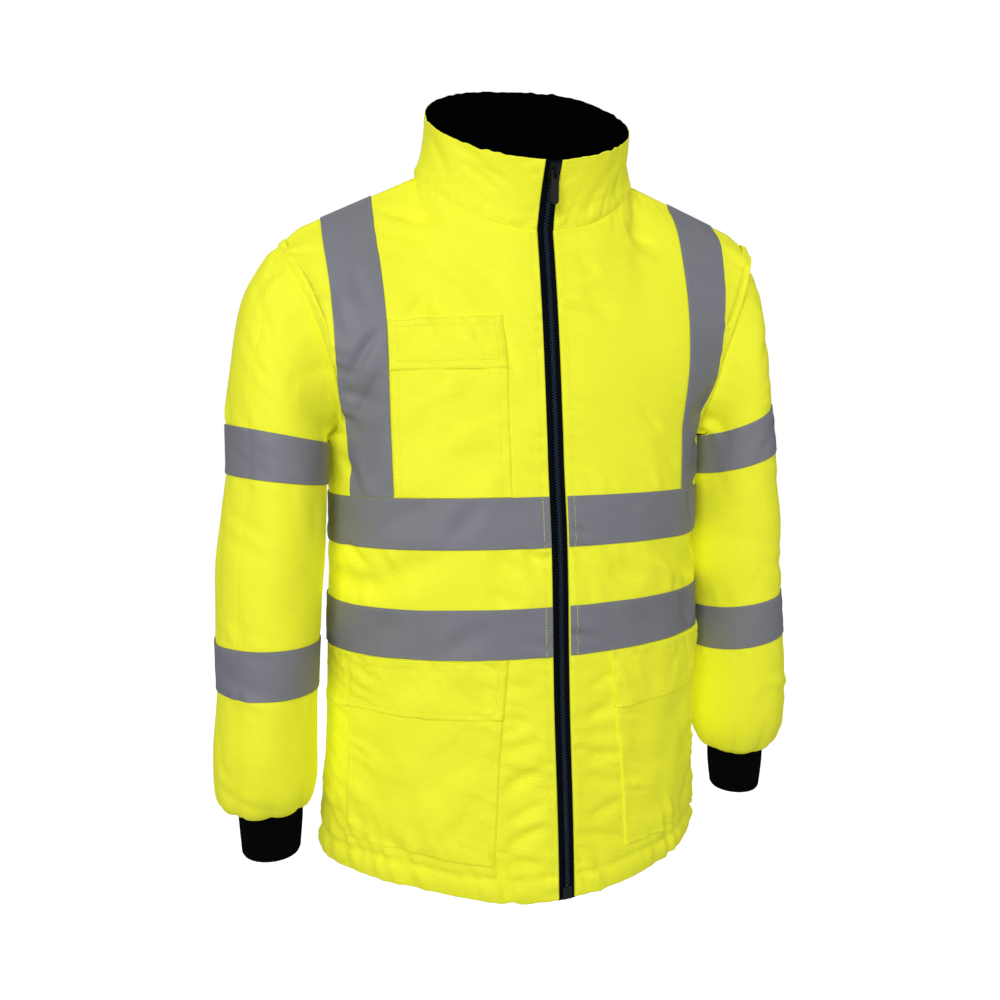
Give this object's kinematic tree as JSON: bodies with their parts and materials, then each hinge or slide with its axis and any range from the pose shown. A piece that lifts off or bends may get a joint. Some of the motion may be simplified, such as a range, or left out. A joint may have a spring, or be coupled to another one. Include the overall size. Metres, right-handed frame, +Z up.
{
  "type": "hi-vis work jacket",
  "caption": "Hollow worn high-visibility work jacket: stand collar, full-length zip, reflective bands and braces, flapped patch pockets, long sleeves with rib-knit cuffs.",
  "frame": {"origin": "midway between the points where the shoulder seams meet the neck, where the wearer's shoulders carry the jacket", "axes": "+Z up, the fronts face -Y, the wearer's left is +X"},
  "size_m": [0.6636, 0.2809, 0.8493],
  "materials": {
    "fluorescent_polyester": "fluorescent yellow woven polyester, matt",
    "reflective_tape": "silver-grey retroreflective tape, satin",
    "black_rib_knit": "black rib knit",
    "black_fleece": "black fleece lining, matt",
    "navy_zip_tape": "navy woven zip tape",
    "navy_zip_plastic": "navy moulded plastic",
    "black_metal": "black lacquered metal, semi-gloss"
  },
  "bodies": {
    "jacket": {"front_left": "fluorescent_polyester", "front_right": "fluorescent_polyester", "back": "fluorescent_polyester", "chest_pocket": "fluorescent_polyester", "chest_pocket_flap": "fluorescent_polyester", "hip_pocket_left": "fluorescent_polyester", "hip_pocket_left_flap": "fluorescent_polyester", "hip_pocket_right": "fluorescent_polyester", "hip_pocket_right_flap": "fluorescent_polyester", "collar": "fluorescent_polyester", "sleeve_left_front": "fluorescent_polyester", "sleeve_left_back": "fluorescent_polyester", "sleeve_right_front": "fluorescent_polyester", "sleeve_right_back": "fluorescent_polyester", "upper_band_front_left": "reflective_tape", "upper_band_front_right": "reflective_tape", "upper_band_back": "reflective_tape", "lower_band_front_left": "reflective_tape", "lower_band_front_right": "reflective_tape", "lower_band_back": "reflective_tape", "brace_front_left": "reflective_tape", "brace_front_right": "reflective_tape", "brace_back_left": "reflective_tape", "brace_back_right": "reflective_tape", "upper_sleeve_band_left": "reflective_tape", "upper_sleeve_band_right": "reflective_tape", "lower_sleeve_band_left": "reflective_tape", "lower_sleeve_band_right": "reflective_tape", "cuff_left": "black_rib_knit", "cuff_right": "black_rib_knit", "collar_lining": "black_fleece", "zip_tape_left": "navy_zip_tape", "zip_tape_right": "navy_zip_tape", "zip_chain": "navy_zip_plastic", "zip_box": "navy_zip_plastic", "zip_slider": "black_metal"},
    "pull_tab": {"zip_pull": "black_metal"}
  },
  "joints": [
    {"name": "pull_tab_hinge", "type": "hinge", "parent": "jacket", "child": "pull_tab", "pos_m": [0.00468, -0.09688, -0.00527], "axis": [-1, 0, 0], "range_deg": [-20, 160]}
  ]
}
